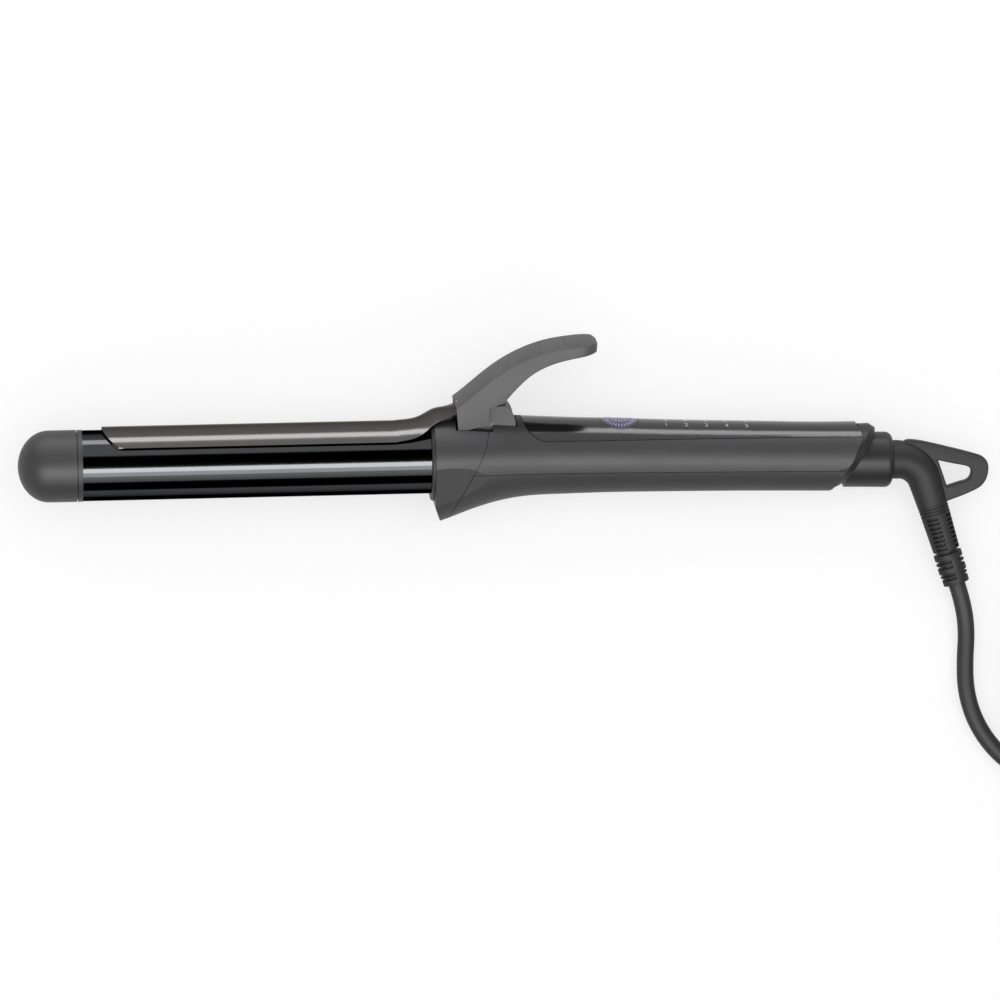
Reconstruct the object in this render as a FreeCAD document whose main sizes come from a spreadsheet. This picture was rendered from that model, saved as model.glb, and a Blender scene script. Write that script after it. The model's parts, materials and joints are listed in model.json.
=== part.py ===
import FreeCAD, Part
import math
import os
import re
import Sketcher
from FreeCAD import Placement, Rotation, Vector

# Spring-clamp curling iron, lying on its side on a table.
#
# Every piece is drawn in the iron's own frame, in millimetres: X along the barrel
# from the cool tip towards the handle, Z from the barrel axis towards the lever,
# Y across. Its zero is on the barrel axis at the front face of the guard.
# The pieces on the cord swivel are drawn in the swivel's frame, and the cord in the
# table's frame. A Placement then lays each piece on the table, which is z = 0.

SIZES = {
    # how the iron lies on the table
    "lie_x": -26.62, "lie_y": 4.12, "axis_height": 18.3, "roll_angle": 15.0, "pitch_angle": 1.35,
    # barrel and tip
    "barrel_radius": 14.0, "barrel_wall": 1.2, "barrel_exposed": 138.2, "barrel_tail": 11.5,
    "tip_radius": 14.15, "tip_length": 23.0, "tip_dome": 12.2, "spigot_length": 9.0,
    "ring_length": 1.8, "groove_gap": 0.4, "slip_fit": 0.03,
    # heater stack inside the barrel
    "core_length": 104.0, "core_front_gap": 14.0, "core_rib": 2.4, "ptc_width": 12.0,
    "ptc_thickness": 2.6, "ptc_length": 78.0, "film_thickness": 0.3, "sensor_radius": 1.2,
    # guard, bush and shells
    "wall": 2.0, "bush_radius": 16.0, "bush_length": 8.2, "collar_radius": 16.9,
    "collar_length": 1.2, "guard_depth": 24.4, "guard_bore_end": 12.0, "seam_gap": 0.2, "panel_thickness": 1.2,
    "handle_length": 171.0, "handle_radius": 13.72, "droop_angle": 1.62,
    # lever, knuckle and hinge
    "pivot_x": 23.0, "pivot_z": 15.0, "knuckle_radius": 9.1, "knuckle_half": 7.8,
    "knuckle_top": 7.3, "cup_clearance": 0.6, "cheek_gap": 1.4, "cheek_wall": 1.8,
    "pin_radius": 1.5, "pin_fit": 0.05, "ear_inner": 3.4, "ear_wall": 1.0, "slot_half": 4.8,
    "recess_floor": 12.4, "spring_wire": 0.45, "spring_radius": 2.4, "spring_turns": 5.0,
    # clamp plate
    "plate_gap": 0.2, "plate_thickness": 1.05, "plate_front": 130.4, "plate_half": 11.7,
    "tongue_length": 9.0, "rivet_radius": 1.4,
    # switch, lights and board
    "button_x": 73.7, "button_radius": 7.6, "button_gap": 0.2, "button_travel": 0.8,
    "light_first": 92.0, "light_pitch": 8.0, "light_radius": 0.9, "board_start": 58.0,
    "board_length": 84.0, "board_half": 9.5, "board_level": -1.0, "board_thickness": 1.6,
    "post_radius": 2.0, "screw_radius": 1.2, "screw_head": 2.6,
    # cord swivel
    "swivel_reach": 11.3, "collar_drop": 1.24, "swivel_roll": 7.6, "collar_outer": 11.0,
    "neck_radius": 7.75, "neck_fit": 0.05, "flange_radius": 9.3, "flange_length": 2.5,
    "collar_inner_radius": 9.6, "collar_inside": 19.0, "lip_length": 3.0, "spigot_radius": 4.0,
    "slip_ring_radius": 5.2, "slip_ring_length": 2.4, "bend_radius": 12.0, "bend_angle": 71.6,
    "bend_start": 2.3, "elbow_end_radius": 6.4, "relief_length": 40.0, "relief_end_radius": 5.2,
    "loop_thickness": 5.0,
    # cord, coil and plug
    "cord_radius": 3.4, "coil_x": 76.0, "coil_y": -44.5, "coil_outer": 48.0, "coil_inner": 27.0,
    "coil_height": 27.2, "plug_length": 34.0, "blade_length": 15.9,
}

doc = FreeCAD.newDocument("curling_iron")
sheet = doc.addObject("Spreadsheet::Sheet", "Sizes")
for row, (alias, number) in enumerate(SIZES.items(), start=1):
    sheet.set("A%d" % row, alias)
    sheet.set("B%d" % row, str(number))
    sheet.setAlias("B%d" % row, alias)
doc.recompute()
ALIAS = re.compile(r"\b(" + "|".join(SIZES) + r")\b")
nodes = []


# --- helpers: every size is an expression in the sheet's names -----------------------
def size(text):
    """The number that an expression has now."""
    return float(sheet.evalExpression(str(text)))


def bind(thing, prop, text):
    """Tie a property to the sheet."""
    thing.setExpression(prop, ALIAS.sub(r"Sizes.\1", str(text)))


def place_at(thing, corner):
    for axis, text in zip("xyz", corner):
        bind(thing, "Placement.Base." + axis, text)
    return thing


def block(lengths, corner):
    """A box with its lowest corner at corner."""
    box = doc.addObject("Part::Box", "Block")
    for prop, text in zip(("Length", "Width", "Height"), lengths):
        bind(box, prop, text)
    return place_at(box, corner)


def rod(radius, length, start, direction=Vector(1, 0, 0)):
    """A cylinder that starts at start and runs along direction."""
    cylinder = doc.addObject("Part::Cylinder", "Rod")
    cylinder.Placement = Placement(Vector(), Rotation(Vector(0, 0, 1), direction))
    bind(cylinder, "Radius", radius)
    bind(cylinder, "Height", length)
    return place_at(cylinder, start)


def fuse(*parts):
    joined = doc.addObject("Part::MultiFuse", "Joined")
    joined.Shapes = list(parts)
    return joined


def cut(base, *tools):
    """Each tool is taken away in turn."""
    for tool in tools:
        trimmed = doc.addObject("Part::Cut", "Trimmed")
        trimmed.Base = base
        trimmed.Tool = tool
        base = trimmed
    return base


def overlap_of(first, second):
    shared = doc.addObject("Part::Common", "Shared")
    shared.Base = first
    shared.Tool = second
    return shared


def shaped(shape, name="Shaped"):
    feature = doc.addObject("Part::Feature", name)
    feature.Shape = shape
    return feature


def turned(name, outline, rounding=None):
    """A body turned about X from (x, radius) corners; rounding is (corner, fillet radius)."""
    body = doc.addObject("PartDesign::Body", name)
    sketch = body.newObject("Sketcher::SketchObject", name + "_outline")
    plane = [item for item in body.Origin.OriginFeatures if item.Role == "XZ_Plane"][0]
    sketch.AttachmentSupport = [(plane, "")]
    sketch.MapMode = "FlatFace"
    corners = [Vector(size(x), size(radius), 0) for x, radius in outline]
    for start, end in zip(corners, corners[1:] + corners[:1]):
        sketch.addGeometry(Part.LineSegment(start, end), False)
    for index in range(len(corners)):
        following = (index + 1) % len(corners)
        sketch.addConstraint(Sketcher.Constraint("Coincident", index, 2, following, 1))
    for index, corner in enumerate(outline):
        for kind, text in zip(("DistanceX", "DistanceY"), corner):
            rule = Sketcher.Constraint(kind, -1, 1, index, 1, size(text))
            bind(sketch, "Constraints[%d]" % sketch.addConstraint(rule), text)
    revolution = body.newObject("PartDesign::Revolution", name + "_turn")
    revolution.Profile = sketch
    revolution.ReferenceAxis = (sketch, ["H_Axis"])
    revolution.Angle = 360
    if rounding:
        doc.recompute()
        corner, radius = rounding
        x, reach = (size(text) for text in outline[corner])
        edge = [index for index, line in enumerate(revolution.Shape.Edges, start=1)
                if isinstance(line.Curve, Part.Circle)
                and abs(line.Curve.Radius - reach) < 0.001
                and abs(line.Curve.Center.x - x) < 0.001]
        fillet = body.newObject("PartDesign::Fillet", name + "_round")
        fillet.Base = (revolution, ["Edge%d" % edge[0]])
        bind(fillet, "Radius", radius)
    return body


def rounded_path(corners, closed):
    """A wire of straight runs; corners are (point, radius), and a radius makes a tangent arc."""
    edges = []
    count = len(corners)
    joints = []
    for index, (point, radius) in enumerate(corners):
        if radius == 0:
            joints.append((point, point, None))
            continue
        back = (corners[index - 1][0] - point).normalize()
        ahead = (corners[(index + 1) % count][0] - point).normalize()
        half = back.getAngle(ahead) / 2
        setback = radius / math.tan(half)
        middle = point + (back + ahead).normalize() * (radius / math.sin(half) - radius)
        joints.append((point + back * setback, point + ahead * setback, middle))
    for index, (entry, leave, middle) in enumerate(joints):
        if middle:
            edges.append(Part.Arc(entry, middle, leave).toShape())
        if index + 1 < count or closed:
            following = joints[(index + 1) % count][0]
            edges.append(Part.LineSegment(leave, following).toShape())
    return Part.Wire(edges)


def side_slab(corners, half_width):
    """A slab with a side-view outline of (x, z, corner radius), as wide as the iron needs."""
    depth = size(half_width)
    points = [(Vector(size(x), -depth, size(z)), size(radius)) for x, z, radius in corners]
    return shaped(Part.Face(rounded_path(points, True)).extrude(Vector(0, 2 * depth, 0)))


def curve_through(points):
    if len(points) == 2:
        return Part.LineSegment(*points).toShape()
    spline = Part.BSplineCurve()
    spline.interpolate(points)
    return spline.toShape()


# --- frames -----------------------------------------------------------------------
tilt = Rotation(Vector(0, 1, 0), size("pitch_angle"))
lay_down = Rotation(Vector(1, 0, 0), size("roll_angle - 90"))
ON_TABLE = Placement(
    Vector(size("lie_x"), size("lie_y"), size("axis_height")), tilt.multiply(lay_down)
)
droop = Rotation(Vector(0, 1, 0), size("droop_angle"))
TAPER_START = 66.0


def handle_level(x):
    """Height of the handle's centre line, which droops towards the cord."""
    return -0.27 - math.tan(math.radians(size("droop_angle"))) * (x - TAPER_START)


SWIVEL_X = "handle_length + swivel_reach"
SWIVEL_AT = Vector(size(SWIVEL_X), 0, handle_level(size(SWIVEL_X)) - size("collar_drop"))
turn_to_cord = Rotation(Vector(1, 0, 0), size("90 - roll_angle + swivel_roll"))
ON_SWIVEL = ON_TABLE.multiply(Placement(SWIVEL_AT, droop.multiply(turn_to_cord)))
ON_HANDLE_END = ON_TABLE.multiply(Placement(SWIVEL_AT, droop))


def node(name, piece, frame=ON_TABLE):
    """Name a finished piece and lay it on the table."""
    piece.Label = name
    piece.Placement = frame
    nodes.append(piece)
    return piece


# --- housing envelope -----------------------------------------------------------------
# stations along X: (x, top, bottom, half width, level of the widest line)
STATIONS = [
    (-3, 17.3, -26.5, 19.0, 1.6),
    (4, 17.3, -24.8, 19.0, 1.6),
    (11, 17.1, -22.1, 18.8, 1.5),
    (18, 16.9, -19.6, 18.2, 1.2),
    (26, 16.6, -17.4, 17.2, 0.9),
    (36, 16.1, -15.8, 16.1, 0.5),
    (50, 15.3, -15.3, 15.2, 0.1),
]
HANDLE_STEPS = 5
TAPER_RADIUS = 14.83


def all_stations():
    stations = list(STATIONS)
    length = size("handle_length") + 8 - TAPER_START
    end_radius = size("handle_radius")
    for step in range(HANDLE_STEPS + 1):
        share = step / HANDLE_STEPS
        x = TAPER_START + share * length
        radius = end_radius + (TAPER_RADIUS - end_radius) * (1 - share) ** 2.5
        level = handle_level(x)
        stations.append((x, level + radius, level - radius, radius, level))
    return stations


QUARTER_PULL = 0.5523  # handle length that makes a cubic curve follow a quarter ellipse


def quarter(x, level, across, reach):
    """A quarter ellipse from the level line at the side to the middle, at the height reach."""
    curve = Part.BezierCurve()
    curve.setPoles([
        Vector(x, across, level), Vector(x, across, level + QUARTER_PULL * reach),
        Vector(x, QUARTER_PULL * across, level + reach), Vector(x, 0, level + reach),
    ])
    return curve.toShape()


def envelope():
    """The housing's outer form, from in front of the guard to beyond its end."""
    sections = []
    for x, top, bottom, half_width, level in all_stations():
        up = top - level
        down = bottom - level
        sections.append(Part.Wire([
            quarter(x, level, half_width, up), quarter(x, level, -half_width, up),
            quarter(x, level, -half_width, down), quarter(x, level, half_width, down),
        ]))
    return Part.makeLoft(sections, True)


FAR = 40  # half width of a cutting slab, wider than any piece
outer_form = envelope()

# flat rest facets, one each side, in the plane of the table
table_block = Part.makeBox(600, 300, 60, Vector(-300, -150, -60))
table_block.Placement = ON_TABLE.inverse().multiply(table_block.Placement)
facet_cutter = table_block.fuse(table_block.mirror(Vector(), Vector(0, 1, 0)))
outer_form = outer_form.cut(facet_cutter)
housing = shaped(outer_form, "housing")


def handle_rod(radius, start):
    """A cylinder on the handle's drooping centre line, from x = start to past its end."""
    inner = Part.makeCylinder(size(radius), 220, Vector(), Vector(1, 0, 0))
    inner.Placement = Placement(Vector(size(start), 0, handle_level(size(start))), droop)
    return shaped(inner)


def form_in(outline):
    """The part of the housing's form that lies inside a side-view outline."""
    return overlap_of(housing, side_slab(outline, FAR))


def collar_seat():
    """The bore that the swivel's collar sits in."""
    bore = Part.makeCylinder(size("collar_outer + slip_fit"), 60, Vector(-50, 0, 0),
                             Vector(1, 0, 0))
    bore.Placement = Placement(SWIVEL_AT, droop)
    return shaped(bore)


GUARD_EDGE = [  # seam between guard and shells, side view, from the top down
    ("21.6", "40", 0), ("21.6", "15.1", 0), ("19.4", "6.5", 30), ("14.7", "-2.9", 0),
    ("4.6", "-23.4", 0), ("3.2", "-guard_depth", 1.2), ("2.4", "-guard_depth", 0),
    ("0", "-17", 3), ("0", "40", 0),
]


def end_edge(shift):
    """Slanted rear edge of the shells, with a rounded top corner."""
    return [
        ("handle_length - 16.0 + %s" % shift, "-20", 0),
        ("handle_length - 1.0 + %s" % shift, "7.5", 4),
        ("handle_length - 6.0 + %s" % shift, "14.5", 0),
    ]


# --- barrel and tip ---------------------------------------------------------------
RING_BACK = "-barrel_exposed"
TIP_BACK = "-barrel_exposed - ring_length - groove_gap"
TIP_START = "%s - tip_length" % TIP_BACK
BORE = "barrel_radius - barrel_wall"


def make_barrel():
    inside = BORE
    node("barrel", turned("barrel", [
        (RING_BACK, inside), (RING_BACK, "barrel_radius"),
        ("barrel_tail", "barrel_radius"), ("barrel_tail", inside),
    ]))
    node("cool_tip_ring", turned("cool_tip_ring", [
        ("%s - ring_length" % RING_BACK, "barrel_radius - 3"),
        ("%s - ring_length" % RING_BACK, "tip_radius"),
        (RING_BACK, "tip_radius"), (RING_BACK, "barrel_radius - 3"),
    ]))
    dome = doc.addObject("Part::Ellipsoid", "Dome")
    dome.Placement = Placement(Vector(), Rotation(Vector(0, 0, 1), Vector(-1, 0, 0)))
    bind(dome, "Radius1", "tip_dome")
    bind(dome, "Radius2", "tip_radius")
    dome.Angle1 = 0
    dome.Angle2 = 90
    place_at(dome, ("%s + tip_dome" % TIP_START, 0, 0))
    skirt = rod("tip_radius", "tip_length - tip_dome", ("%s + tip_dome" % TIP_START, 0, 0))
    groove_root = rod("barrel_radius - 0.9", "groove_gap", (TIP_BACK, 0, 0))
    spigot = rod("barrel_radius - 3 - slip_fit", "ring_length + spigot_length",
                 ("%s + groove_gap" % TIP_BACK, 0, 0))
    hollow = rod("barrel_radius - 5", "20", ("%s - 6" % TIP_BACK, 0, 0))
    node("cool_tip", cut(fuse(dome, skirt, groove_root, spigot), hollow))
    node("tip_plug", turned("tip_plug", [
        ("-barrel_exposed + slip_fit", "barrel_radius - 3"),
        ("-barrel_exposed + slip_fit", "%s - slip_fit" % BORE),
        ("-barrel_exposed + spigot_length - 1", "%s - slip_fit" % BORE),
        ("-barrel_exposed + spigot_length - 1", "barrel_radius - 3"),
    ]))


def make_heater():
    start = "-barrel_exposed + core_front_gap"
    outer = "%s - slip_fit" % BORE
    pocket_half = "ptc_thickness / 2 + film_thickness"
    for name, sign in (("heater_core_top", 1), ("heater_core_bottom", -1)):
        sleeve = cut(
            rod(outer, "core_length", (start, 0, 0)),
            rod("%s - core_rib" % outer, "core_length", (start, 0, 0)),
        )
        flat = overlap_of(
            rod("%s - core_rib / 2" % outer, "core_length", (start, 0, 0)),
            block(("core_length", "40", "5.0"), (start, -20, 0 if sign > 0 else -5)),
        )
        half = block(("core_length", "40", "20"), (start, -20, "0.15" if sign > 0 else "-20.15"))
        pocket = block(("core_length", "ptc_width + 1", "2 * (%s)" % pocket_half),
                       (start, "-ptc_width / 2 - 0.5", "-(%s)" % pocket_half))
        sensor_hole = rod("sensor_radius + 0.1", "30", ("%s + core_length - 30" % start, 0, "3.3"))
        node(name, cut(overlap_of(fuse(sleeve, flat), half), pocket, sensor_hole))
    middle = "%s + (core_length - ptc_length) / 2" % start
    plates = [
        block(("ptc_length / 3 - 1", "ptc_width", "ptc_thickness"),
              ("%s + ptc_length / 3 * %d" % (middle, index), "-ptc_width / 2", "-ptc_thickness / 2"))
        for index in range(3)
    ]
    node("ptc_heaters", fuse(*plates))
    film = block(("core_length - 4", "ptc_width + 0.6", "2 * (%s) - 0.02" % pocket_half),
                 ("%s + 2" % start, "-ptc_width / 2 - 0.3", "-(%s) + 0.01" % pocket_half))
    opening = block(("core_length", "ptc_width + 0.1", "ptc_thickness + 0.02"),
                    (start, "-ptc_width / 2 - 0.05", "-ptc_thickness / 2 - 0.01"))
    node("insulation_film", cut(film, opening))
    bead = rod("sensor_radius", "8", ("%s + core_length - 28" % start, 0, "3.3"))
    leads = rod("0.6", "barrel_exposed - core_front_gap - core_length + 24",
                ("%s + core_length - 20" % start, 0, "3.3"))
    node("temperature_sensor", fuse(bead, leads))
    node("thermal_fuse", fuse(
        rod("1.8", "9", ("%s + core_length + 3" % start, 0, "-3.4")),
        rod("0.5", "16", ("%s + core_length" % start, 0, "-3.4")),
    ))


# --- guard and handle -----------------------------------------------------------------
LEVER_HALF = "knuckle_half + cheek_gap + cheek_wall"


def hinge_recess():
    """Room in the housing's top for the lever's cheeks and its turning knuckle."""
    cup = rod("knuckle_radius + cup_clearance", "2 * (knuckle_half + 0.5)",
              ("pivot_x", "-knuckle_half - 0.5", "pivot_z"), Vector(0, 1, 0))
    seat = block(("pivot_x - 8.3", "2 * (%s + 0.5)" % LEVER_HALF, "20"),
                 ("8.3", "-(%s) - 0.5" % LEVER_HALF, "recess_floor"))
    return fuse(cup, seat)


def slanted_ring(radius, x, slope=33.0):
    """An ellipse where a slanted plane crosses a round handle."""
    stretch = radius / math.cos(math.radians(slope))
    tilt_sin = math.sin(math.radians(slope))
    tilt_cos = math.cos(math.radians(slope))
    centre = Vector(x, 0, handle_level(x))
    long_axis = Vector(tilt_sin, 0, tilt_cos) * stretch
    ring = Part.Ellipse(centre + long_axis, centre + Vector(0, radius, 0), centre)
    return Part.Wire(ring.toShape())


def end_ring_form():
    """Outer form of the bevelled ring that closes the slanted handle end."""
    middle = size("handle_length - 6.4")
    front = slanted_ring(size("handle_radius - 0.9"), middle - 4)
    edge = slanted_ring(size("handle_radius - 0.7"), middle + 0.2)
    back = slanted_ring(size("collar_outer + 0.7"), middle + 3.2)
    cone = Part.makeLoft([edge, back], True, True)
    solid = Part.makeLoft([front, edge], True, True).fuse(cone)
    return shaped(solid.cut(facet_cutter))


INNER = "handle_radius - wall"
SCREW_PLACES = ("40", "148")


def screw_bores(radius, bottom, height):
    return [rod(radius, height, (x, 0, bottom), Vector(0, 0, 1)) for x in SCREW_PLACES]


def make_housing():
    guard = form_in(GUARD_EDGE)
    bore = rod("bush_radius + slip_fit", "guard_bore_end + 10", (-5, 0, 0))
    node("nose_guard", cut(guard, bore, hinge_recess(), handle_rod(INNER, "guard_bore_end")))

    behind = [("21.6 + seam_gap", "40", 0), ("21.6 + seam_gap", "15.1", 0),
              ("19.4 + seam_gap", "6.5", 30), ("14.7 + seam_gap", "-2.9", 0)]
    upper = behind + [("handle_length + 12", "-2.9 - 0.0175 * handle_length", 0),
                      ("handle_length + 12", "40", 0)]
    lower = [("14.7 + seam_gap", "-2.9 - seam_gap", 0), ("4.6 + seam_gap", "-23.4", 0),
             ("4.6 + seam_gap", "-guard_depth", 0), ("handle_length + 12", "-guard_depth", 0),
             ("handle_length + 12", "-2.9 - seam_gap - 0.0175 * handle_length", 0)]
    beyond_end = side_slab(end_edge(0) + [("handle_length + 30", "40", 0),
                                          ("handle_length + 30", "-20", 0)], FAR)
    panel_edge = [("34.2", "30", 0), ("34.2", "17", 0), ("37.4", "11.6", 12), ("42.4", "8.8", 5),
                  ("handle_length + 12", "6.9", 0), ("handle_length + 12", "30", 0)]
    panel_room = cut(side_slab(panel_edge, FAR),
                     handle_rod("handle_radius - panel_thickness - slip_fit", 0))
    inner_edge = [("34.2 + seam_gap", "30", 0), ("34.2 + seam_gap", "17", 0),
                  ("37.4 + seam_gap", "11.6 + seam_gap", 12), ("42.4", "8.8 + seam_gap", 5),
                  ("handle_length + 12", "6.9 + seam_gap", 0), ("handle_length + 12", "30", 0)]
    button_hole = rod("button_radius + button_gap", "40", ("button_x", 0, 0), Vector(0, 0, 1))
    light_holes = [
        rod("light_radius + slip_fit", "30", ("light_first + light_pitch * %d" % index, 0, 0),
            Vector(0, 0, 1)) for index in range(5)
    ]
    panel = cut(form_in(inner_edge), handle_rod("handle_radius - panel_thickness", 0))
    node("top_panel", cut(panel, beyond_end, end_ring_form(), button_hole, *light_holes))

    # upper shell, with the bosses that the long screws bite into
    bosses = [
        rod("3", "40", (x, 0, "-5.2"), Vector(0, 0, 1)) for x in SCREW_PLACES
    ]
    boss_group = overlap_of(fuse(*bosses), handle_rod("handle_radius - wall + 0.3", 20))
    pilots = screw_bores("screw_radius + 0.02", "-9", "11")
    skin = cut(form_in(upper), handle_rod(INNER, "guard_bore_end"))
    node("upper_shell", cut(
        fuse(skin, boss_group), beyond_end, end_ring_form(), hinge_recess(), panel_room, button_hole,
        *light_holes, *pilots, collar_seat(),
    ))

    # lower shell, with the board's posts and the countersunk screw holes
    posts = [
        rod("post_radius", "40", (x, y, "board_level - 40"), Vector(0, 0, 1))
        for x in ("board_start + 6", "board_start + board_length - 6") for y in ("-6", "6")
    ]
    columns = [rod("3.4", "40", (x, 0, "-45.4"), Vector(0, 0, 1)) for x in SCREW_PLACES]
    post_group = overlap_of(fuse(*posts, *columns), handle_rod("handle_radius - wall + 0.3", 20))
    belly = cut(form_in(lower), handle_rod(INNER, "guard_bore_end"))
    shanks = screw_bores("screw_radius + 0.15", "-30", "40")
    heads = screw_bores("screw_head + 0.15", "-30", "18.5")
    board_pilots = [
        rod("0.8", "6", (x, 6, "board_level - 6"), Vector(0, 0, 1))
        for x in ("board_start + 6", "board_start + board_length - 6")
    ]
    node("lower_shell", cut(fuse(belly, post_group), beyond_end, end_ring_form(), bore,
                            collar_seat(), *shanks, *heads, *board_pilots))
    node("housing_screws", fuse(
        *screw_bores("screw_radius", "-11.6", "13"), *screw_bores("screw_head", "-13.4", "1.8")))

    node("end_ring", cut(end_ring_form(), collar_seat()))
    node("root_collar", turned("root_collar", [
        ("-collar_length", "barrel_radius + slip_fit"), ("-collar_length", "collar_radius - 0.5"),
        ("0.5 - collar_length", "collar_radius"), ("-slip_fit", "collar_radius"),
        ("-slip_fit", "barrel_radius + slip_fit"),
    ]))
    node("barrel_bush", turned("barrel_bush", [
        ("0", "barrel_radius + slip_fit"), ("0", "bush_radius"),
        ("bush_length", "bush_radius"), ("bush_length", "barrel_radius + slip_fit"),
    ]))


# --- hinge, lever and clamp plate ---------------------------------------------------------
PIVOT = ("pivot_x", 0, "pivot_z")
ACROSS = Vector(0, 1, 0)
TOP_LINE = [(8.6, 22.4), (14.5, 27.0), (20.5, 32.0), (28.5, 37.6), (38.9, 42.6), (47, 44.9),
            (56, 46.1), (63, 46.9)]
UNDER_LINE = [(27.3, 24.4), (32.4, 30.2), (38.9, 35.9), (46.8, 39.7), (57, 42.1), (64.3, 43.3)]


def in_side_view(points, y):
    return [Vector(x, y, z) for x, z in points]


def make_lever():
    depth = size(LEVER_HALF)
    runs = [
        TOP_LINE, [TOP_LINE[-1], (64.8, 46.2)], [(64.8, 46.2), UNDER_LINE[-1]],
        UNDER_LINE[::-1], [UNDER_LINE[0], (21.5, 22.4)], [(21.5, 22.4), (21.3, 15.6)],
        [(21.3, 15.6), (17.5, 14.9)], [(17.5, 14.9), (9.3, 12.9)], [(9.3, 12.9), TOP_LINE[0]],
    ]
    edges = [curve_through(in_side_view(run, -depth)) for run in runs]
    slab = Part.Face(Part.Wire(edges)).extrude(Vector(0, 2 * depth, 0))
    # the thumb end is round in plan
    end_round = 8.0
    plan = [
        (Vector(0, -depth, 0), 0), (Vector(64.7, -depth, 0), end_round),
        (Vector(64.7, depth, 0), end_round), (Vector(0, depth, 0), 0),
    ]
    footprint = Part.Face(rounded_path(plan, True)).extrude(Vector(0, 0, 80))
    body = shaped(slab.common(footprint), "lever_form")
    pocket = side_slab([
        ("5", "19.4", 0), ("8", "21.2", 0), ("13.5", "22.4", 0), ("40", "22.4", 0),
        ("40", "5", 0), ("5", "5", 0)], "knuckle_half + cheek_gap")
    rivet_hole = rod("rivet_radius + slip_fit", "8.1", ("10.6", 0, "15"), Vector(0, 0, 1))
    node("lever", cut(body, pocket, rivet_hole))


def make_knuckle():
    drum = rod("knuckle_radius", "2 * knuckle_half",
               ("pivot_x", "-knuckle_half", "pivot_z"), ACROSS)
    keep = block(("40", "40", "pivot_z + knuckle_top - 6.5"), (0, -20, "6.5"))
    slot = block(("30", "2 * slot_half", "30"), ("pivot_x - 15", "-slot_half", "-9.5"))
    hole = rod("pin_radius + pin_fit", "40", ("pivot_x", -20, "pivot_z"), ACROSS)
    node("hinge_knuckle", cut(overlap_of(drum, keep), slot, hole))


def plate_section(x, top, radius, half_width):
    """Cross-section of the clamp plate: a band of even thickness, crowned to radius."""
    inner = radius - size("plate_thickness")
    level = top - radius
    reach = math.asin(half_width / radius)

    def on_arc(distance, angle):
        return Vector(x, distance * math.sin(angle), level + distance * math.cos(angle))

    outer_arc = Part.Arc(*[on_arc(radius, turn) for turn in (-reach, 0, reach)]).toShape()
    inner_arc = Part.Arc(*[on_arc(inner, turn) for turn in (reach, 0, -reach)]).toShape()
    sides = [
        Part.LineSegment(on_arc(radius, reach), on_arc(inner, reach)).toShape(),
        Part.LineSegment(on_arc(inner, -reach), on_arc(radius, -reach)).toShape(),
    ]
    return Part.Wire([outer_arc, sides[0], inner_arc, sides[1]])


def make_plate():
    radius = size("barrel_radius + plate_gap + plate_thickness")
    half = size("plate_half")
    front = -size("plate_front")
    straight = Part.makeLoft([plate_section(x, radius, radius, half) for x in (front, -15)], True)
    rising = [
        (-15, radius, radius, half), (-10, radius + 0.45, radius + 0.1, half - 0.3),
        (-4, radius + 2.2, radius + 1.0, half - 0.8), (0.5, 19.7, 19.2, half - 1.4),
        (4.5, 20.3, 24, half - 2.0), (8.5, 20.9, 40, half - 2.6), (12.5, 21.2, 60, half - 2.8),
    ]
    neck = Part.makeLoft([plate_section(*station) for station in rising], True)
    tongue = size("tongue_length")
    nose = Part.Ellipse(
        Vector(front + tongue, half, 0), Vector(front, 0, 0), Vector(front + tongue, 0, 0))
    round_end = Part.Face(Part.Wire(nose.toShape())).extrude(Vector(0, 0, 40))
    rest = Part.makeBox(200, 2 * half + 2, 40, Vector(front + tongue, -half - 1, 0))
    plate = straight.fuse(neck).common(round_end.fuse(rest))
    hole = rod("rivet_radius + slip_fit", "20", ("10.6", 0, "14"), Vector(0, 0, 1))
    node("clamp_plate", cut(shaped(plate, "plate_form"), hole))


def make_hinge_parts():
    """Bracket, pin and spring, inside the knuckle's slot; the rivet that holds the plate."""
    ears = [
        block(("8", "ear_wall", "pivot_z + 0.7"), ("pivot_x - 4", y, "2.5"))
        for y in ("ear_inner", "-ear_inner - ear_wall")
    ]
    base = block(("18", "22.6", "1"), ("pivot_x - 9", "-11.3", "2"))
    hole = rod("pin_radius + 0.02", "40", ("pivot_x", -20, "pivot_z"), ACROSS)
    node("hinge_bracket", cut(fuse(base, *ears), hole))
    node("hinge_pin", fuse(
        rod("pin_radius", "2 * knuckle_half - 0.8", ("pivot_x", "0.4 - knuckle_half", "pivot_z"),
            ACROSS),
        rod("pin_radius - 0.3", "2 * knuckle_half", ("pivot_x", "-knuckle_half", "pivot_z"),
            ACROSS)))

    wire = size("spring_wire")
    radius = size("spring_radius")
    height = 2 * size("ear_inner") - 4 * wire
    helix = Part.makeHelix(height / size("spring_turns"), height, radius)
    ring = Part.Wire(Part.Circle(Vector(radius, 0, 0), Vector(0, 1, 0), wire).toShape())
    coil = Part.Wire(helix).makePipeShell([ring], True, True)
    low_leg = Part.makeCylinder(wire, size("pivot_z - 3.1"), Vector(radius, 0, 0),
                                Vector(0, -1, 0))
    high_leg = Part.makeCylinder(wire, 4.6, Vector(radius, 0, height), Vector(0, 1, 0))
    spring = coil.fuse(low_leg).fuse(high_leg)
    upright = Placement(Vector(size("pivot_x"), height / 2, size("pivot_z")),
                        Rotation(Vector(1, 0, 0), 90))
    node("torsion_spring", shaped(spring, "spring_form"), ON_TABLE.multiply(upright))
    node("clamp_rivet", fuse(
        rod("rivet_radius", "4.0", ("10.6", 0, "19.0"), Vector(0, 0, 1)),
        rod("2.4", "0.85", ("10.6", 0, "19.0"), Vector(0, 0, 1))))


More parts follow.
